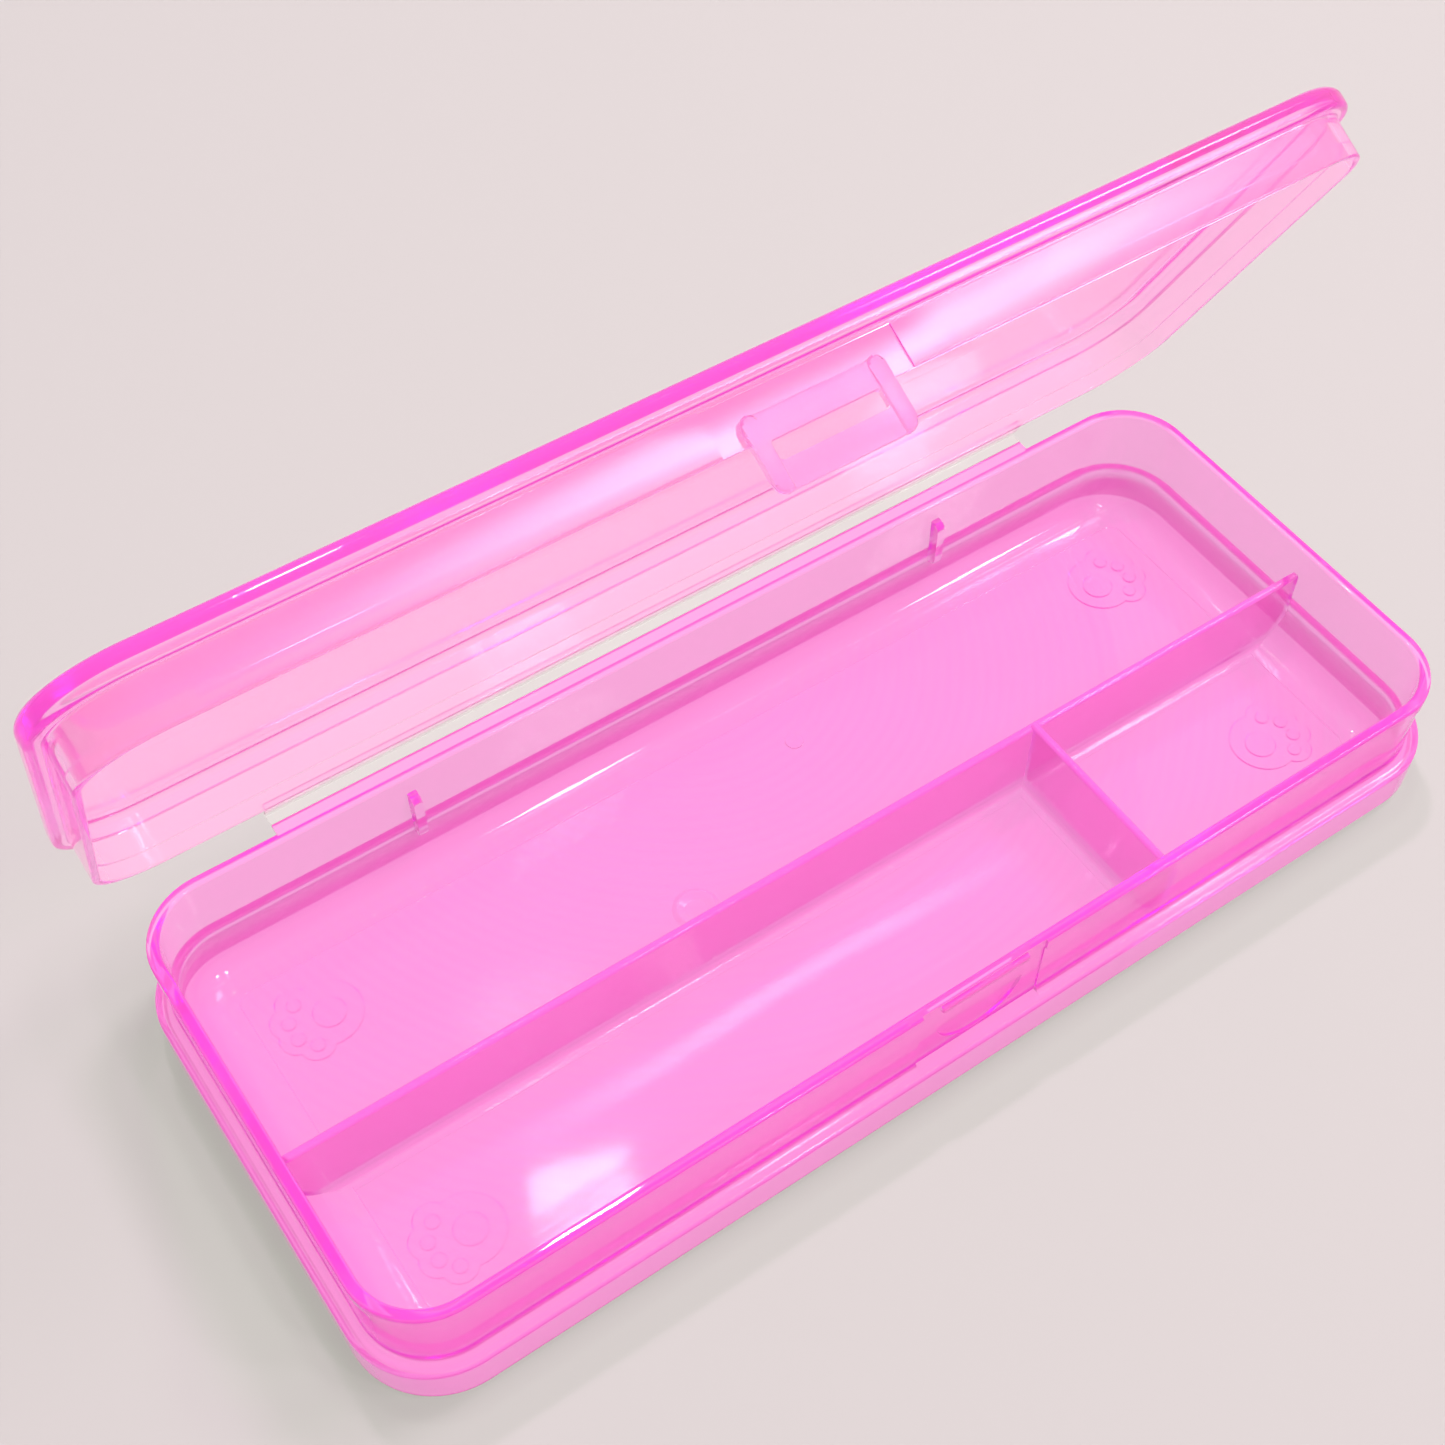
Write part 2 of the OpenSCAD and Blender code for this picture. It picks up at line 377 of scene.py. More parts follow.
@dataclass(frozen=True)
class Board:
    """A node tree, with short ways to put nodes on it and wire them."""

    tree: bpy.types.NodeTree

    def feed(self, node: bpy.types.Node, inputs: Inputs) -> None:
        """Sets or wires the inputs of a node.

        Args:
            node: The node.
            inputs: What each input gets: an output is wired to it, and a number or colour is set on it.
        """
        for key, value in inputs.items():
            if isinstance(value, Socket):
                self.tree.links.new(value, node.inputs[key])
            else:
                node.inputs[key].default_value = value

    def put(self, kind: str, inputs: Inputs | None = None, **choices: str) -> bpy.types.NodeOutputs:
        """Adds a node.

        Args:
            kind: The node's type, without the word that every type starts with.
            inputs: What its inputs get.
            choices: Its own settings.

        Returns:
            The node's outputs.
        """
        node = self.tree.nodes.new("ShaderNode" + kind)
        for name, choice in choices.items():
            setattr(node, name, choice)
        self.feed(node, inputs or {})
        return node.outputs

    def ramp(self, source: Socket, places: Pair, colours: Iterable[tuple[float, ...]]) -> Socket:
        """Adds a ramp between two colours.

        Args:
            source: What the ramp follows.
            places: Where its two ends are.
            colours: The colours of its ends.

        Returns:
            The colour.
        """
        node = self.tree.nodes.new("ShaderNodeValToRGB")
        for element, place, colour in zip(node.color_ramp.elements, places, colours):
            element.position = place
            element.color = colour
        self.feed(node, {"Fac": source})
        return node.outputs["Color"]

    def reckon(self, operation: str, first: object, second: object) -> Socket:
        """Adds a sum of two numbers, of the kind that operation names."""
        return self.put("Math", {0: first, 1: second}, operation=operation)["Value"]

    def span(self, value: Socket, limits: Inputs, smooth: bool = False) -> Socket:
        """Adds a step from one range of numbers to another, with the limits that are not 0 or 1."""
        kind = "SMOOTHSTEP" if smooth else "LINEAR"
        return self.put("MapRange", {"Value": value, **limits}, interpolation_type=kind)["Result"]

    def mix(self, share: object, first: Socket, second: Socket) -> Socket:
        """Adds a mix of two shaders, with the second's share."""
        return self.put("MixShader", {"Fac": share, 1: first, 2: second})["Shader"]


@dataclass(frozen=True)
class ClearPlastic:
    """See-through tinted plastic: glossy, lightly clouded at its surface, with faint flow marks."""

    name: str
    skin_tint: Colour
    rough: float
    depth_tint: Colour
    depth: float
    cloud: float
    frost: float
    cloud_tint: Colour
    glow: float
    shade: Colour
    refraction: float = 1.25
    face_gloss: float = 1.5
    rough_spread: float = 0.3
    cloud_spread: float = 0.03
    drift_scale: float = 38.0
    drift_detail: float = 3.0
    drift_range: Pair = (0.3, 0.7)
    wander: float = 0.0006
    wander_scale: float = 22.0
    wander_detail: float = 0.5
    wander_stretch: Point = (0.4, 1.0, 1.0)
    level_from: float = 0.7
    frost_height: float = 0.006
    tool_marks: float = 0.03
    tool_centre: Point = (-0.005, -0.05, 0.0)
    tool_scale: float = 140.0
    tool_wobble: float = 0.6
    tool_detail: float = 1.0

    def material(self) -> bpy.types.Material:
        """Builds the node material.

        Returns:
            The material.
        """
        made = bpy.data.materials.new(self.name)
        made.use_nodes = True
        made.node_tree.nodes.clear()
        board = Board(made.node_tree)
        output = board.tree.nodes.new("ShaderNodeOutputMaterial")
        place = board.put("TexCoord")["Object"]
        drift = board.put("TexNoise", {"Scale": self.drift_scale, "Detail": self.drift_detail,
                                       "Vector": place})["Fac"]
        gloss = board.span(drift, {
            "From Min": self.drift_range[0], "From Max": self.drift_range[1],
            "To Min": self.rough * (1.0 - self.rough_spread),
            "To Max": self.rough * (1.0 + self.rough_spread)})
        lie = self._lie(board, place)
        clear = board.put("BsdfPrincipled", {
            "Base Color": opaque(self.skin_tint), "IOR": self.refraction, "Transmission Weight": 1.0,
            "Roughness": gloss, "Normal": lie})["BSDF"]
        milk = self._milk(board, drift, gloss, lie)
        surface = board.mix(self._share(board, place), clear, milk)
        lamps = board.put("BsdfTransparent", {"Color": opaque(self.shade)})["BSDF"]
        path = board.put("LightPath")
        inside = board.put("VolumeAbsorption", {"Color": opaque(self.depth_tint), "Density": self.depth})
        board.feed(output, {"Surface": board.mix(path["Is Shadow Ray"], surface, lamps),
                            "Volume": inside["Volume"]})
        return made

    def _lie(self, board: Board, place: Socket) -> Socket:
        """Makes the slow waves of a moulded face, which bend what is mirrored in it.

        Args:
            board: The material's nodes.
            place: The place on the object.

        Returns:
            The normal.
        """
        stretch = board.put("Mapping", {"Scale": self.wander_stretch, "Vector": place})["Vector"]
        uneven = board.put("TexNoise", {"Scale": self.wander_scale, "Detail": self.wander_detail,
                                        "Vector": stretch})["Fac"]
        return board.put("Bump", {"Distance": self.wander, "Height": uneven})["Normal"]

    def _milk(self, board: Board, drift: Socket, gloss: Socket, lie: Socket) -> Socket:
        """Makes the clouded part, glossy too, which sends some light back and lets some through.

        Args:
            board: The material's nodes.
            drift: A soft cloud.
            gloss: The roughness.
            lie: The normal.

        Returns:
            The shader's output.
        """
        shades = (opaque(self.cloud_tint, 1.0 + side * self.cloud_spread) for side in SIDES)
        colour = board.ramp(drift, self.drift_range, shades)
        back = board.put("BsdfPrincipled", {"Base Color": colour, "IOR": self.face_gloss,
                                            "Roughness": gloss, "Normal": lie})["BSDF"]
        through = board.put("BsdfTranslucent", {"Color": colour})["BSDF"]
        return board.mix(self.glow, back, through)

    def _share(self, board: Board, place: Socket) -> Socket:
        """Gives the clouded part's share, which counts once, as light enters a wall.

        The floor panel has a share of its own, with the fine rings that the cutter left in the mould.

        Args:
            board: The material's nodes.
            place: The place on the object.

        Returns:
            The share.
        """
        side = board.put("NewGeometry")
        steep = board.put("SeparateXYZ", {"Vector": side["Normal"]})["Z"]
        height = board.put("SeparateXYZ", {"Vector": place})["Z"]
        panel = board.reckon("MULTIPLY", board.span(steep, {"From Min": self.level_from}, smooth=True),
                             board.reckon("LESS_THAN", height, self.frost_height))
        shift = board.put("Mapping", {"Location": self.tool_centre, "Vector": place})["Vector"]
        rings = board.put("TexWave", {
            "Scale": self.tool_scale, "Distortion": self.tool_wobble, "Detail": self.tool_detail,
            "Vector": shift}, wave_type="RINGS", rings_direction="Z")["Fac"]
        marks = board.span(rings, {"To Min": self.frost * (1.0 - self.tool_marks),
                                   "To Max": self.frost * (1.0 + self.tool_marks)})
        level = board.span(panel, {"To Min": self.cloud, "To Max": marks})
        return board.span(side["Backfacing"], {"To Min": level, "To Max": 0.0})


TRAY_PINK = ClearPlastic("clear_pink_plastic", skin_tint=(1.0, 0.84, 0.975), rough=0.03,
                         depth_tint=(1.0, 0.0, 0.99), depth=45.0, cloud=0.54, frost=0.43,
                         cloud_tint=(1.0, 0.11, 0.57), glow=0.15, shade=(0.5, 0.7, 0.52))
LID_PINK = ClearPlastic("thin_pink_plastic", skin_tint=(1.0, 0.86, 0.95), rough=0.04,
                        depth_tint=(1.0, 0.0, 0.96), depth=40.0, cloud=0.4, frost=0.4,
                        cloud_tint=(1.0, 0.18, 0.53), glow=0.3, shade=(0.9, 0.98, 0.91), refraction=1.35)
LATCH_PINK = ClearPlastic("latch_pink_plastic", skin_tint=(1.0, 0.985, 0.95), rough=0.14,
                          depth_tint=(1.0, 0.0, 0.985), depth=200.0, cloud=0.35, frost=0.35,
                          cloud_tint=(1.0, 0.3, 0.7), glow=0.4, shade=(0.9, 0.98, 0.91))
PALE = ClearPlastic("pale_hinge_plastic", skin_tint=(1.0, 0.98, 0.96), rough=0.1,
                    depth_tint=(1.0, 0.7, 0.9), depth=120.0, cloud=0.5, frost=0.5,
                    cloud_tint=(0.6, 0.54, 0.52), glow=0.3, shade=(0.95, 0.96, 0.95))


@dataclass
class Moulding:
    """A moulded piece of the case, with the finish it gets."""

    finish: ClearPlastic = TRAY_PINK
    slot: Slot = Slot.PLASTIC

    def dress(self, piece: Solid) -> Solid:
        """Gives the piece its finish.

        Args:
            piece: The built piece.

        Returns:
            The piece.
        """
        piece.data.materials.clear()
        piece.data.materials.append(self.finish.material())
        piece.visible_diffuse = False
        return piece


@dataclass
class Tray(Moulding):
    """The tray: floor, bowl, walls, rim bead, ledge and foot skirt, with dividers, ribs, feet and catch."""

    outline: Outline = Outline()
    hinge: HingeLine = HingeLine()
    height: float = 23.5
    wall: float = 1.6
    floor: float = 2.6
    foot: float = 1.0
    bowl: float = 7.0
    bowl_steps: int = 14
    under_steps: int = 12
    sink: float = 0.15
    panel_starts: float = 0.6
    panel_sunk: float = 0.8
    panel_reach: float = 1.4
    panel_round: float = 0.1
    rim_round: float = 0.5
    bead_height: float = 2.4
    bead_out: float = 0.4
    bead_round: float = 0.2
    bead_fillet: float = 0.18
    ledge_height: float = 8.3
    ledge_out: float = 2.2
    ledge_fillet: float = 1.3
    ledge_round: float = 0.8
    skirt: float = 1.0
    skirt_round: float = 1.1
    skirt_inside: float = 0.4
    skirt_fillet: float = 0.5
    under_fillet: float = 0.3
    cup_gap: float = 1.0
    long_divider_y: float = -5.3
    cross_divider_x: float = 38.9
    divider_top: float = 17.9
    cross_rise: float = 0.4
    divider_thick: float = 1.5
    divider_flare: float = 1.2
    divider_toe: float = 0.6
    divider_root: float = 0.4
    divider_sink: float = 0.08
    divider_round: float = 0.8
    rib_x: float = 52.3
    rib_thick: float = 1.6
    rib_out: float = 2.0
    rib_top: float = 19.6
    rib_foot: float = 8.2
    rib_root: float = 1.5
    rib_round: float = 0.6
    rib_edge: float = 0.3
    foot_x: float = 80.8
    foot_y: float = 22.0
    foot_base: float = 6.0
    pad: float = 2.7
    pad_sides: int = 40
    pad_edge: float = 0.22
    pad_sink: float = 0.2
    base_sink: float = 0.35
    toe: float = 1.2
    toe_sides: int = 24
    toe_edge: float = 1.75
    toe_angles: tuple[float, ...] = (-60.0, -20.0, 20.0, 60.0)
    leaf_root: float = 0.9
    seat_half: float = 11.7
    seat_back: float = -0.7
    seat_step: float = 0.2
    seat_out: float = 6.0
    seat_over: float = 2.0
    ridge_half: float = 8.2
    ridge_out: float = 0.3
    ridge_root: float = 1.1
    ridge_inset: float = 0.5
    ridge_round: float = 0.4
    ridge_edge: float = 0.25
    scoop_top: float = 15.9
    scoop_low: float = 8.9
    scoop_in: float = 0.5
    scoop_out: float = 2.0
    scoop_steps: int = 12
    gate: Spot = Spot((11.3, 23.3), 1.6, rise=0.12, root=0.4, edge=0.1)
    dimple: Spot = Spot((-21.5, 4.5), 4.0, rise=0.35, root=0.5, edge=0.5)
    ring_sides: int = 48
    crest: float = 0.8
    dish: float = 0.45
    dish_sink: float = 0.05
    dish_round: float = 0.8
    dish_middle: float = 0.05

    @property
    def inner(self) -> float:
        """Distance of the inside of the wall from the outline."""
        return -self.bead_out - self.wall

    @property
    def front(self) -> float:
        """Where the front of the rim is."""
        return -self.outline.back

    def build(self) -> Solid:
        """Builds the whole tray as one moulding.

        Returns:
            The tray.
        """
        tray = self.outline.sweep("tray", self._wall_section())
        end, cross_top = self.outline.length / 2, self.divider_top + self.cross_rise
        added = [self._divider(self.long_divider_y, self.divider_top, (-end, end), ALONG_X),
                 self._divider(self.cross_divider_x, cross_top, (self.front, self.long_divider_y), ALONG_Y)]
        added += [self._rib(side) for side in SIDES]
        added += [self._paw(side_x, side_y) for side_x in SIDES for side_y in SIDES]
        added.append(self.hinge.leaf(self.outline.back - self.leaf_root, self.outline.back,
                                     self.height - self.hinge.leaf_thick, self.height - SKIM))
        combine(tray, Join.ADD, *added)
        combine(tray, Join.TAKE, self._seat(), self._scoop())
        combine(tray, Join.ADD, self._ridge(), self._gate_mark(), self._dimple_ring())
        finish_faces(tray)
        return tray

    def _wall_section(self) -> list[Vector]:
        """Makes the section from the middle of the floor, over the rim, to the underside of the floor.

        Returns:
            The points of the section.
        """
        bowl_foot = self.inner - self.bowl
        middle = Vector((bowl_foot, self.floor + self.bowl))
        under = self.ledge_height - self.skirt
        bead_foot = self.height - self.bead_height
        turns = [
            Turn(bowl_foot - self.panel_reach, self.floor - self.sink),
            Turn(bowl_foot - self.panel_sunk, self.floor - self.sink, self.panel_round, 3),
            Turn(bowl_foot - self.panel_starts, self.floor, self.panel_round, 3),
            Turn(self.inner, self.floor, self.bowl, self.bowl_steps),
            Turn(self.inner, self.height, self.rim_round),
            Turn(0.0, self.height, self.rim_round),
            Turn(0.0, bead_foot, self.bead_round, 3),
            Turn(-self.bead_out, bead_foot, self.bead_fillet, 3),
            Turn(-self.bead_out, self.ledge_height, self.ledge_fillet, 6),
            Turn(self.ledge_out, self.ledge_height, self.ledge_round, 6),
            Turn(self.ledge_out, 0.0, self.skirt_round, 6),
            Turn(self.ledge_out - self.skirt, 0.0, self.skirt_inside, 3),
            Turn(self.ledge_out - self.skirt, under, self.skirt_fillet, 4),
        ]
        start = math.asin((under - middle.y) / (self.bowl + self.skirt))
        for step in range(self.under_steps + 1):
            angle = start + (-math.pi / 2 - start) * step / self.under_steps
            reach = self.bowl + self.skirt + (self.wall - self.skirt) * step / self.under_steps
            point = middle + reach * Vector((math.cos(angle), math.sin(angle)))
            turns.append(Turn(point.x, point.y, 0.0 if step else self.under_fillet, 3))
        turns.append(Turn(bowl_foot - self.panel_reach, self.foot))
        return rounded(turns)

    def _cup(self) -> Solid:
        """Makes the space inside the middle of the wall, which the dividers and ribs are kept to.

        Returns:
            The solid.
        """
        reach, low = self.inner + self.wall / 2, self.floor - self.wall / 2
        start, top = self.inner - self.bowl - self.panel_starts, self.height - self.cup_gap
        return self.outline.sweep("cup", rounded([
            Turn(start, low), Turn(reach, low, self.bowl + self.wall / 2, self.bowl_steps),
            Turn(reach, top), Turn(start, top)]))

    def _divider(self, middle: float, top: float, reach: Pair, axes: Matrix) -> Solid:
        """Makes a low wall with a flared foot and a round top.

        Args:
            middle: Where it stands.
            top: Height of its top.
            reach: Where it starts and ends along its line.
            axes: The way its line runs.

        Returns:
            The solid.
        """
        half = self.divider_thick / 2
        wide, edge = half + self.divider_flare + self.divider_toe, half * self.divider_round
        root, foot = self.foot + self.divider_root, self.floor - self.divider_sink
        section = rounded([
            Turn(-wide, root), Turn(wide, root), Turn(wide, foot), Turn(half, foot, self.divider_flare, 5),
            Turn(half, top, edge), Turn(-half, top, edge), Turn(-half, foot, self.divider_flare, 5),
            Turn(-wide, foot)], closed=True)
        wall = prism("divider", [p + Vector((middle, 0)) for p in section], reach, axes)
        return combine(wall, Join.KEEP, self._cup())

    def _rib(self, side: int) -> Solid:
        """Makes an upright rib on the inside of the back wall.

        Args:
            side: -1 for the left rib, 1 for the right one.

        Returns:
            The solid.
        """
        back = self.outline.back + self.inner
        section = rounded([
            Turn(back + self.rib_root, self.rib_foot), Turn(back + self.rib_root, self.rib_top),
            Turn(back - self.rib_out / 2, self.rib_top, self.rib_round),
            Turn(back - self.rib_out, self.rib_top - self.rib_out / 2, self.rib_round),
            Turn(back - self.rib_out, self.rib_foot + self.rib_out, self.rib_round)], closed=True)
        middle = side * self.rib_x
        reach = (middle - self.rib_thick / 2, middle + self.rib_thick / 2)
        return combine(prism("rib", section, reach, ALONG_X, self.rib_edge), Join.KEEP, self._cup())

    def _paw(self, side_x: int, side_y: int) -> Solid:
        """Makes a raised paw-print foot under the floor.

        Args:
            side_x: -1 at the left end, 1 at the right end.
            side_y: -1 at the front, 1 at the back.

        Returns:
            The solid.
        """
        x, y = side_x * self.foot_x, side_y * self.foot_y
        step, ring = self.foot / 2, self.foot_base - self.toe
        toes = [Vector((x + side_x * ring * math.cos(a), y + ring * math.sin(a)))
                for a in map(math.radians, self.toe_angles)]
        paw = self._pad("paw", (x - side_x * self.toe, y), self.foot_base, step)
        bases = [self._pad("toe_base", toe, self.toe + self.toe_edge, step) for toe in toes]
        pad = self._pad("pad", (x - side_x * self.toe_edge, y), self.pad, 0.0)
        return combine(paw, Join.ADD, *bases, pad, *(self._pad("toe", toe, self.toe, 0.0) for toe in toes))

    def _pad(self, name: str, centre: Pair, radius: float, low: float) -> Solid:
        """Makes a round pad with a soft lower edge, sunk into the floor above it.

        Args:
            name: The object's name.
            centre: Its middle along and across the tray.
            radius: Its radius.
            low: Height of its lower face.

        Returns:
            The solid.
        """
        top = self.foot + (self.base_sink if low else self.pad_sink)
        section = rounded([Turn(0.0, low), Turn(radius, low, self.pad_edge, 3), Turn(radius, top),
                           Turn(0.0, top)])
        return button(name, section, centre, self.pad_sides if radius > self.toe else self.toe_sides)

    def _seat(self) -> Solid:
        """Makes the space of the latch's shallow seat in the front wall.

        Returns:
            The solid.
        """
        outer, inner = self.front - self.seat_out, self.front - self.seat_back
        over, low = self.height + self.seat_over, self.ledge_height + SKIM
        bead_foot = self.height - self.bead_height
        section = [Vector(corner) for corner in (
            (outer, over), (outer, low), (inner, low), (inner, bead_foot),
            (inner - self.seat_step, bead_foot + self.seat_step), (inner - self.seat_step, over))]
        return prism("seat", section, (-self.seat_half, self.seat_half), ALONG_X)

    def _scoop(self) -> Solid:
        """Makes the space of the finger scoop under the latch.

        Returns:
            The solid.
        """
        half, sag = self.ridge_half, self.scoop_top - self.scoop_low
        radius = (half * half + sag * sag) / (2 * sag)
        angles = [math.asin(half / radius) * k / self.scoop_steps
                  for k in range(-self.scoop_steps, self.scoop_steps + 1)]
        arc = [Vector((radius * math.sin(a), self.scoop_low + radius - radius * math.cos(a))) for a in angles]
        back = self.front - self.seat_back
        return prism("scoop", arc, (back - self.scoop_out, back + self.scoop_in), ALONG_Y)

    def _ridge(self) -> Solid:
        """Makes the catch that the latch snaps over.

        Returns:
            The solid.
        """
        root, outer = self.front + self.ridge_root, self.front - self.ridge_out
        middle, half = self.height - self.bead_height / 2, self.bead_height / 2 - self.ridge_inset
        section = rounded([
            Turn(root, middle + half), Turn(root, middle - half),
            Turn(outer, middle - half, self.ridge_round), Turn(outer, middle + half, self.ridge_round)],
            closed=True)
        return prism("ridge", section, (-self.ridge_half, self.ridge_half), ALONG_X, self.ridge_edge)

    def _gate_mark(self) -> Solid:
        """Makes the small round mark of the moulding gate on the floor.

        Returns:
            The solid.
        """
        gate, low, top = self.gate, self.floor - self.gate.root, self.floor + self.gate.rise
        section = rounded([Turn(0.0, low), Turn(gate.radius, low), Turn(gate.radius, top, gate.edge, 2),
                           Turn(0.0, top)])
        return button("gate", section, gate.centre)

    def _dimple_ring(self) -> Solid:
        """Makes the shallow ring that the runner of the mould left on the floor.

        Returns:
            The solid.
        """
        ring, low, dish = self.dimple, self.floor - self.dimple.root, self.floor - self.dish_sink
        section = rounded([
            Turn(0.0, low), Turn(ring.radius, low), Turn(ring.radius, self.floor - self.sink - SKIM),
            Turn(ring.radius * self.crest, self.floor + ring.rise, ring.edge, 5),
            Turn(ring.radius * self.dish, dish, self.dish_round, 5),
            Turn(self.dish_middle, dish), Turn(0.0, dish)])
        return button("dimple", section, ring.centre, self.ring_sides)


@dataclass
class Lid(Moulding):
    """The lid: top, skirt, flange and its edge of the hinge, built shut and then opened."""

    finish: ClearPlastic = LID_PINK
    outline: Outline = Outline()
    hinge: HingeLine = HingeLine()
    over: float = 1.5
    rim: float = 23.8
    height: float = 11.0
    top: float = 1.6
    wall: float = 1.6
    hollow: float = 1.2
    top_reach: float = 0.5
    lip: float = 1.2
    lip_height: float = 2.6
    lip_round: float = 0.4
    lip_step: float = 0.15
    lip_fillet: float = 0.12
    flange_height: float = 4.0
    flange_out: float = 2.2
    flange_fillet: float = 0.35
    flange_low: float = 0.8
    flange_top: float = 1.8
    panel_half: float = 15.0
    panel_in: float = 0.35
    panel_out: float = 3.0
    panel_under: float = 1.0
    panel_gap: float = 0.4
    leaf_root: float = 0.6

    def build(self) -> Solid:
        """Builds the lid as one moulding, standing open.

        Returns:
            The lid.
        """
        lid = self.outline.sweep("lid", self._wall_section(), self.over)
        combine(lid, Join.TAKE, self._panel())
        back, low = self.outline.back, self.rim + SKIM
        combine(lid, Join.ADD, self.hinge.leaf(back - self.leaf_root, back, low, low + self.hinge.leaf_thick))
        finish_faces(lid)
        lid.data.transform(self.hinge.lid_turn())
        return lid

    def _wall_section(self) -> list[Vector]:
        """Makes the section from the underside of the top, round the skirt and flange, to its upper side.

        Returns:
            The points of the section.
        """
        low, high, start = self.rim, self.rim + self.height, -self.wall - self.hollow - self.top_reach
        lip, flange = low + self.lip_height, high - self.flange_height
        return rounded([
            Turn(start, high - self.top), Turn(-self.wall, high - self.top, self.hollow, 6),
            Turn(-self.wall, lip, self.lip_step, 3), Turn(-self.lip, lip, self.lip_fillet, 3),
            Turn(-self.lip, low, self.lip_round), Turn(0.0, low, self.lip_round),
            Turn(0.0, flange, self.flange_fillet), Turn(self.flange_out, flange, self.flange_low, 6),
            Turn(self.flange_out, high, self.flange_top, 10), Turn(start, high)])

    def _panel(self) -> Solid:
        """Makes the space of the shallow panel round the latch.

        Returns:
            The solid.
        """
        outer, inner = -self.outline.back - self.panel_out, -self.outline.back + self.panel_in
        low, high = self.rim - self.panel_under, self.rim + self.height - self.flange_height - self.panel_gap
        section = [Vector(corner) for corner in ((outer, low), (inner, low), (inner, high), (outer, high))]
        return prism("panel", section, (-self.panel_half, self.panel_half), ALONG_X)


@dataclass
class Latch(Moulding):
    """The snap latch: a springy tab with a slot, hanging from the lid's front between two raised arms."""

    finish: ClearPlastic = LATCH_PINK
    front: float = -41.0
    rim: float = 23.8
    width: float = 22.2
    arm: float = 2.5
    drop: float = 7.6
    rise: float = 3.6
    back: float = -0.33
    hang_back: float = -0.4
    face: float = 1.1
    plate_face: float = 0.75
    plate_side: float = 0.15
    plate_low: float = 0.1
    plate_top: float = 0.3
    plate_edge: float = 0.3
    corner: float = 2.4
    arm_back: float = 0.05
    arm_inner: float = 0.5
    arm_foot: float = 1.6
    arm_top: float = 1.2
    arm_edge: float = 0.55
    slot_drop: float = 3.6
    slot_start: float = 0.6
    slot_round: float = 0.6
    slot_through: float = 4.0
    bend: float = 0.9
    bend_cuts: int = 3
    crisp: float = 40.0

    def build(self, opened: Matrix) -> Solid:
        """Builds the latch in one piece, hanging from the open lid.

        Args:
            opened: The lid's turn from shut to open.

        Returns:
            The latch.
        """
        latch = combine(self._plate(), Join.ADD, *(self._arm(side) for side in SIDES))
        combine(latch, Join.TAKE, self._slot())
        self._split(latch)
        finish_faces(latch, self.crisp)
        latch.data.transform(opened)
        return latch

    def bend_line(self, opened: Matrix) -> tuple[Vector, Vector]:
        """Gives where the bend of the latch starts and ends, in metres.

        Args:
            opened: The lid's turn from shut to open.

        Returns:
            The point where the bend starts and the point where it ends.
        """
        y = self.front - (self.hang_back + self.face) / 2
        return (opened @ (Vector((0, y, self.rim + self.bend)) * MM),
                opened @ (Vector((0, y, self.rim - self.bend)) * MM))

    def _plate(self) -> Solid:
        """Makes the plate of the latch, with round corners and soft edges.

        Returns:
            The solid.
        """
        half = self.width / 2 - self.plate_side
        low, high = self.rim - self.drop + self.plate_low, self.rim + self.rise - self.plate_top
        corners = ((-half, low), (half, low), (half, high), (-half, high))
        section = rounded([Turn(*corner, self.corner, 7) for corner in corners], closed=True)
        reach = (self.front - self.plate_face, self.front - self.back)
        return prism("latch", section, reach, ALONG_Y, self.plate_edge)

    def _arm(self, side: int) -> Solid:
        """Makes the raised arm at one side of the latch.

        Args:
            side: -1 for the left arm, 1 for the right one.

        Returns:
            The solid.
        """
        outer, inner = side * self.width / 2, side * (self.width / 2 - self.arm)
        low, high = self.rim - self.drop, self.rim + self.rise
        section = rounded([
            Turn(inner, low, self.arm_inner), Turn(outer, low, self.arm_foot, 7),
            Turn(outer, high, self.arm_top, 7), Turn(inner, high, self.arm_top, 7)], closed=True)
        reach = (self.front - self.face, self.front - self.back - self.arm_back)
        return prism("arm", section, reach, ALONG_Y, self.arm_edge)

    def _slot(self) -> Solid:
        """Makes the space of the slot that takes the catch.

        Returns:
            The solid.
        """
        half, low, high = self.width / 2 - self.arm, self.rim - self.slot_drop, self.rim - self.slot_start
        corners = ((-half, low), (half, low), (half, high), (-half, high))
        section = rounded([Turn(*corner, self.slot_round) for corner in corners], closed=True)
        reach = (self.front - self.slot_through, self.front + self.slot_through)
        return prism("slot", section, reach, ALONG_Y)

    def _split(self, latch: Solid) -> None:
        """Cuts extra lines across the arms, where they bend.

        Args:
            latch: The latch, still shut.
        """
        mesh = bmesh.new()
        mesh.from_mesh(latch.data)
        for step in range(-self.bend_cuts, self.bend_cuts + 1):
            height = (self.rim + self.bend * step / self.bend_cuts) * MM
            bmesh.ops.bisect_plane(mesh, geom=mesh.verts[:] + mesh.edges[:] + mesh.faces[:],
                                   plane_co=(0, 0, height), plane_no=(0, 0, 1), dist=CUT)
        mesh.to_mesh(latch.data)
        mesh.free()


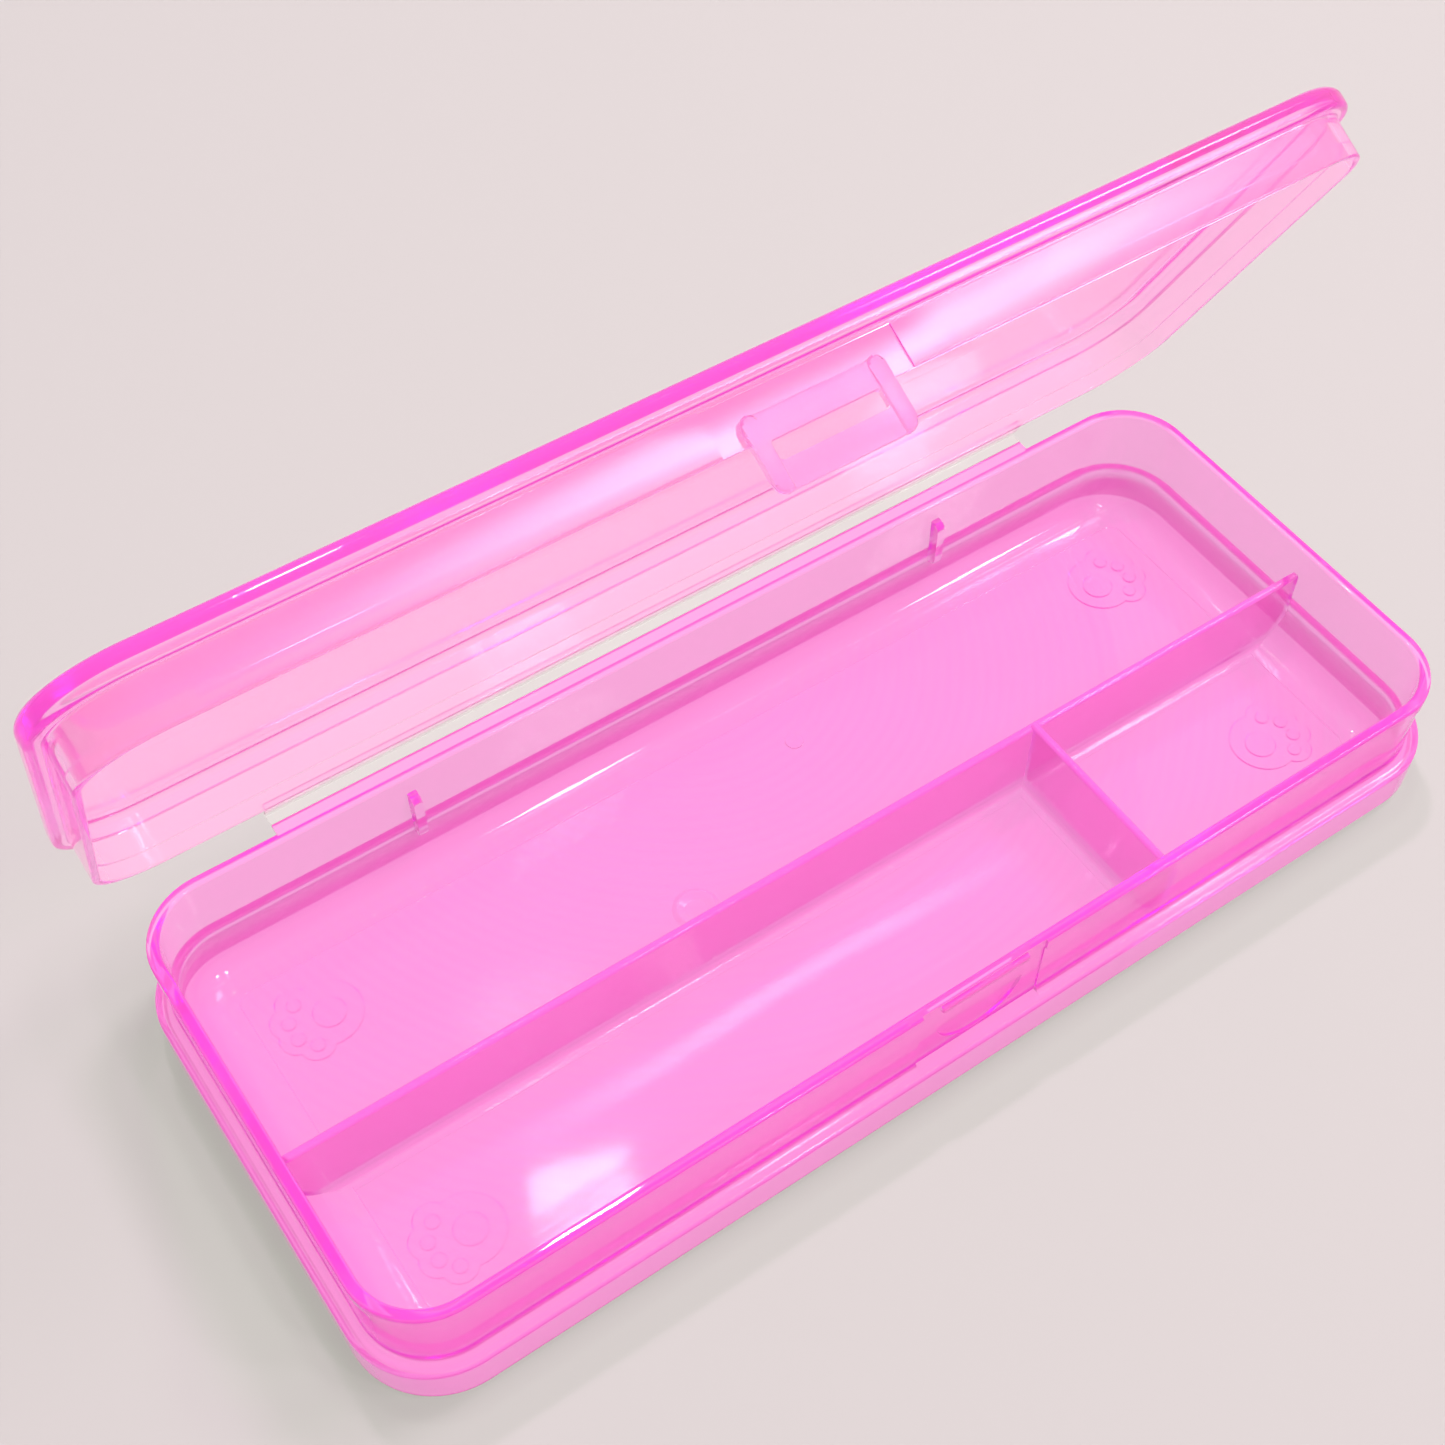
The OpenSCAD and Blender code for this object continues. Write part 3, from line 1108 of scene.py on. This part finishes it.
@dataclass
class HingeWeb(Moulding):
    """The thin strip that bends between the tray and the lid."""

    finish: ClearPlastic = PALE
    slot: Slot = Slot.WEB
    hinge: HingeLine = HingeLine()
    reach: float = 1.72
    gap: float = 0.15
    thick: float = 0.4
    bend: float = 0.5
    flat_steps: int = 6
    bend_steps: int = 10
    crisp: float = 50.0

    def build(self) -> Solid:
        """Builds the strip as it bends at rest.

        Returns:
            The strip.
        """
        middle, opened = Vector((self.hinge.y, self.hinge.z)), math.radians(self.hinge.opened)
        lid_way = Vector((-math.cos(opened), math.sin(opened)))
        lid_up = Vector((lid_way.y, -lid_way.x))
        outer, flat, bent = self.gap + self.thick, self.flat_steps, self.bend_steps
        start = Vector((0.0, -1.0))
        turn = start.angle_signed(lid_up)
        turn = turn if turn < 0 else turn - math.tau
        arc = [Matrix.Rotation(-turn * k / bent, 2) @ start for k in range(bent + 1)]
        section = [middle + Vector((-self.reach, -self.gap))]
        section += [middle + Vector((-self.reach * (1 - k / flat), -outer)) for k in range(flat)]
        section += [middle + outer * way for way in arc]
        section += [middle + lid_way * self.reach * k / flat + lid_up * outer for k in range(1, flat + 1)]
        section += [middle + lid_way * self.reach * (1 - k / flat) + lid_up * self.gap for k in range(flat)]
        section += [middle + self.gap * way for way in reversed(arc)]
        section += [middle + Vector((-self.reach * k / flat, -self.gap)) for k in range(1, flat)]
        strip = prism("hinge_strip", section, (-self.hinge.half, self.hinge.half), ALONG_X)
        finish_faces(strip, self.crisp)
        return strip

    def bend_line(self) -> tuple[Vector, Vector]:
        """Gives where the bend of the strip starts and ends, in metres.

        Returns:
            The point where the bend starts and the point where it ends.
        """
        opened = math.radians(self.hinge.opened)
        way = Vector((0.0, 1.0 - math.cos(opened), math.sin(opened))).normalized()
        middle = Vector((0.0, self.hinge.y, self.hinge.z))
        return (middle - way * self.bend) * MM, (middle + way * self.bend) * MM


@dataclass(frozen=True)
class TableTop:
    """The plain pale table, which runs into an even backdrop far from the part, with painted pink light under
    the tray that shows only through the plastic.
    """

    name: str = "pale_table"
    colour: Colour = (0.485, 0.445, 0.447)
    colour_spread: float = 0.015
    cloud_scale: float = 3.0
    rough: float = 0.9
    backdrop: Colour = (1.0, 0.985, 0.985)
    seen_through: float = 0.97
    # painted pink light: the colour that the table under the tray shows through the plastic, standing in for
    # light tinted on its way down through the tray
    under: Colour = (1.0, 0.6, 0.87)
    painted_light_half: Pair = (0.105, 0.0455)
    painted_light_edge: float = 0.96
    far: Colour = (0.80, 0.725, 0.725)
    far_from: float = 0.5
    far_to: float = 1.4

    def material(self) -> bpy.types.Material:
        """Builds the node material.

        Returns:
            The material.
        """
        made = bpy.data.materials.new(self.name)
        made.use_nodes = True
        board = Board(made.node_tree)
        shader = board.tree.nodes["Principled BSDF"]
        cloud = board.put("TexNoise", {"Scale": self.cloud_scale})["Fac"]
        shades = (opaque(self.colour, 1.0 + side * self.colour_spread) for side in SIDES)
        board.feed(shader, {"Roughness": self.rough, "Specular IOR Level": 0.0,
                            "Base Color": board.ramp(cloud, (0.0, 1.0), shades)})
        # seen only by transmission rays: a white backdrop, with painted pink light under the tray
        through = board.put("Emission", {"Color": self._painted_tray_light(board)})["Emission"]
        path = board.put("LightPath")
        share = board.reckon("MULTIPLY", path["Is Transmission Ray"], self.seen_through)
        near = board.mix(share, shader.outputs["BSDF"], through)
        even = board.put("Emission", {"Color": opaque(self.far)})["Emission"]
        place = board.put("NewGeometry")["Position"]
        length = board.put("VectorMath", {0: place}, operation="LENGTH")["Value"]
        away = board.span(length, {"From Min": self.far_from, "From Max": self.far_to}, smooth=True)
        far = board.reckon("MULTIPLY", away, path["Is Camera Ray"])
        board.feed(board.tree.nodes["Material Output"], {"Surface": board.mix(far, near, even)})
        return made

    def _painted_tray_light(self, board: Board) -> Socket:
        """Gives what shows through the plastic: white, or painted pink light on the table where the light came
        down through the tray.

        Args:
            board: The material's nodes.

        Returns:
            The colour.
        """
        place = board.put("NewGeometry")["Position"]
        scaled = board.put("VectorMath", {0: place, 1: (*self.painted_light_half, 1.0)}, operation="DIVIDE")["Vector"]
        sides = board.put("VectorMath", {0: scaled}, operation="ABSOLUTE")["Vector"]
        split = board.put("SeparateXYZ", {"Vector": sides})
        reach = board.reckon("MAXIMUM", split["X"], split["Y"])
        return board.ramp(reach, (self.painted_light_edge, 1.0), (opaque(self.under), opaque(self.backdrop)))


@dataclass(frozen=True)
class Softbox:
    """A soft studio lamp, whose face fades out towards its edges."""

    name: str
    place: Point
    aim: Point
    size: Pair
    power: float
    fade: float

    def add(self) -> None:
        """Puts the lamp up."""
        data = bpy.data.lights.new(self.name, "AREA")
        data.shape = "RECTANGLE"
        data.size, data.size_y = self.size
        data.energy = self.power
        self._soften(data)
        lamp = bpy.data.objects.new(self.name, data)
        lamp.location = self.place
        lamp.rotation_euler = (Vector(self.aim) - Vector(self.place)).to_track_quat("-Z", "Y").to_euler()
        bpy.context.scene.collection.objects.link(lamp)

    def _soften(self, data: bpy.types.Light) -> None:
        """Lets the lamp's face fade out.

        Args:
            data: The lamp's data.
        """
        data.use_nodes = True
        board = Board(data.node_tree)
        face = board.put("SeparateXYZ", {"Vector": board.put("NewGeometry")["Parametric"]})
        edge = {"From Max": self.fade / 2}
        ease = [board.span(board.reckon("PINGPONG", face[axis], 0.5), edge, smooth=True) for axis in "XY"]
        board.feed(board.tree.nodes["Emission"], {"Strength": board.reckon("MULTIPLY", *ease)})


@dataclass
class Studio:
    """Table, soft light and camera."""

    table: TableTop = TableTop()
    table_radius: float = 5.0
    table_drop: float = 0.05
    table_sides: int = 96
    lamps: tuple[Softbox, ...] = (
        Softbox("key", (1.5, 0.16, 2.2), (0.0, 0.0, 0.0), (0.72, 0.72), power=40.0, fade=0.5),
        Softbox("strip", (0.54, -0.236, 1.1), (0.54, -0.236, 0.0), (1.1, 0.05), power=3.2, fade=1.0),
        Softbox("window", (0.137, 0.43, 1.1), (-0.06, -0.025, 0.0), (0.08, 0.05), power=3.8, fade=0.15),
        Softbox("long_window", (0.36, 0.495, 1.1), (0.36, 0.495, 0.0), (0.6, 0.03), power=0.6, fade=0.8),
        Softbox("front_left", (0.32, -0.66, 1.1), (0.0, 0.0, 0.0), (0.1, 0.2), power=2.4, fade=0.3),
        Softbox("front_right", (0.79, -0.79, 1.1), (0.0, 0.0, 0.0), (0.1, 0.2), power=3.0, fade=0.3),
    )
    world_colour: Colour = (1.0, 0.955, 0.95)
    world_light: float = 0.95
    horizon: float = 0.6
    horizon_top: float = 0.5
    bounces: int = 64
    clear_bounces: int = 48
    eye: Point = (-114.82, -142.02, 280.04)
    azimuth: float = -37.453
    elevation: float = 54.949
    roll: float = 2.623
    lens: float = 50.08
    sensor: float = 36.0
    shift: Pair = (-0.0493, 0.0565)
    clip: Pair = (0.01, 50.0)

    def build(self) -> None:
        """Sets up the table, the lamps, the world and the camera."""
        self._floor()
        for lamp in self.lamps:
            lamp.add()
        self._world()
        self._camera()
        scene = bpy.context.scene
        scene.view_settings.view_transform = "Standard"
        scene.cycles.max_bounces = self.bounces
        scene.cycles.transmission_bounces = self.bounces
        scene.cycles.glossy_bounces = self.bounces
        scene.cycles.transparent_max_bounces = self.clear_bounces

    def _floor(self) -> None:
        """Lays the round table top."""
        mesh = bmesh.new()
        bmesh.ops.create_circle(mesh, cap_ends=True, segments=self.table_sides, radius=self.table_radius / MM)
        bmesh.ops.translate(mesh, verts=mesh.verts[:], vec=(0, 0, -self.table_drop))
        floor = new_object("table_top", mesh)
        if floor.data.polygons[0].normal.z < 0:
            floor.data.flip_normals()
        floor.data.materials.append(self.table.material())

    def _world(self) -> None:
        """Gives the room an even pale light, and a pale backdrop to what is seen or mirrored."""
        world = bpy.data.worlds.new("room")
        world.use_nodes = True
        board = Board(world.node_tree)
        light = board.tree.nodes["Background"]
        board.feed(light, {"Color": opaque(self.world_colour), "Strength": self.world_light})
        path = board.put("LightPath")
        way = board.put("SeparateXYZ", {"Vector": board.put("TexCoord")["Generated"]})
        height = board.span(way["Z"], {"From Max": self.horizon_top, "To Min": self.horizon})
        backdrop = {"Color": opaque(self.table.backdrop), "Strength": height}
        seen = board.put("Background", backdrop)["Background"]
        ray = board.reckon("MAXIMUM", path["Is Glossy Ray"], path["Is Transmission Ray"])
        room = board.mix(ray, light.outputs["Background"], seen)
        plain = board.put("Background", {"Color": opaque(self.table.far)})["Background"]
        direct = board.mix(path["Is Camera Ray"], room, plain)
        board.feed(board.tree.nodes["World Output"], {"Surface": direct})
        bpy.context.scene.world = world

    def _camera(self) -> None:
        """Sets the camera at the photographed angle."""
        azimuth, elevation, roll = (math.radians(a) for a in (self.azimuth, self.elevation, self.roll))
        level = Vector((math.cos(azimuth), math.sin(azimuth), 0.0))
        away = Vector((math.sin(azimuth) * math.cos(elevation), -math.cos(azimuth) * math.cos(elevation),
                       math.sin(elevation)))
        right = level * math.cos(roll) + away.cross(level) * math.sin(roll)
        data = bpy.data.cameras.new("camera")
        data.lens, data.sensor_width = self.lens, self.sensor
        data.shift_x, data.shift_y = self.shift
        data.clip_start, data.clip_end = self.clip
        camera = bpy.data.objects.new("camera", data)
        turn = Matrix((right, away.cross(right), away)).transposed().to_4x4()
        camera.matrix_world = Matrix.Translation(Vector(self.eye) * MM) @ turn
        bpy.context.scene.collection.objects.link(camera)
        bpy.context.scene.camera = camera


def main() -> None:
    """Builds the pencil case and the studio round it."""
    logging.basicConfig(level=logging.INFO, format="%(name)s: %(message)s")
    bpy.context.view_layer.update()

    base = Tray()
    tray = base.dress(base.build())
    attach(tray, Body.TRAY.value)
    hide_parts("tray_shell", "long_divider", "cross_divider", "rear_rib_left", "rear_rib_right",
                "foot_back_left", "foot_back_right", "foot_front_left", "foot_front_right", "catch_ridge",
                "tray_hinge_leaf")

    cover = Lid()
    lid = cover.dress(cover.build())
    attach(lid, Body.LID.value)
    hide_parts("lid_shell", "lid_hinge_leaf")

    snap, opened = Latch(), cover.hinge.lid_turn()
    latch = snap.dress(snap.build(opened))
    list(snap.bend_line(opened))
    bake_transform(latch)
    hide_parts("latch_root", "latch_tab")

    web = HingeWeb()
    strip = web.dress(web.build())
    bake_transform(strip)
    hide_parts("hinge_web")

    for piece in (tray, lid, latch, strip):
        LOG.info("%s: %d faces", piece.name, len(piece.data.polygons))
    Studio().build()


if __name__ == "__main__":
    main()
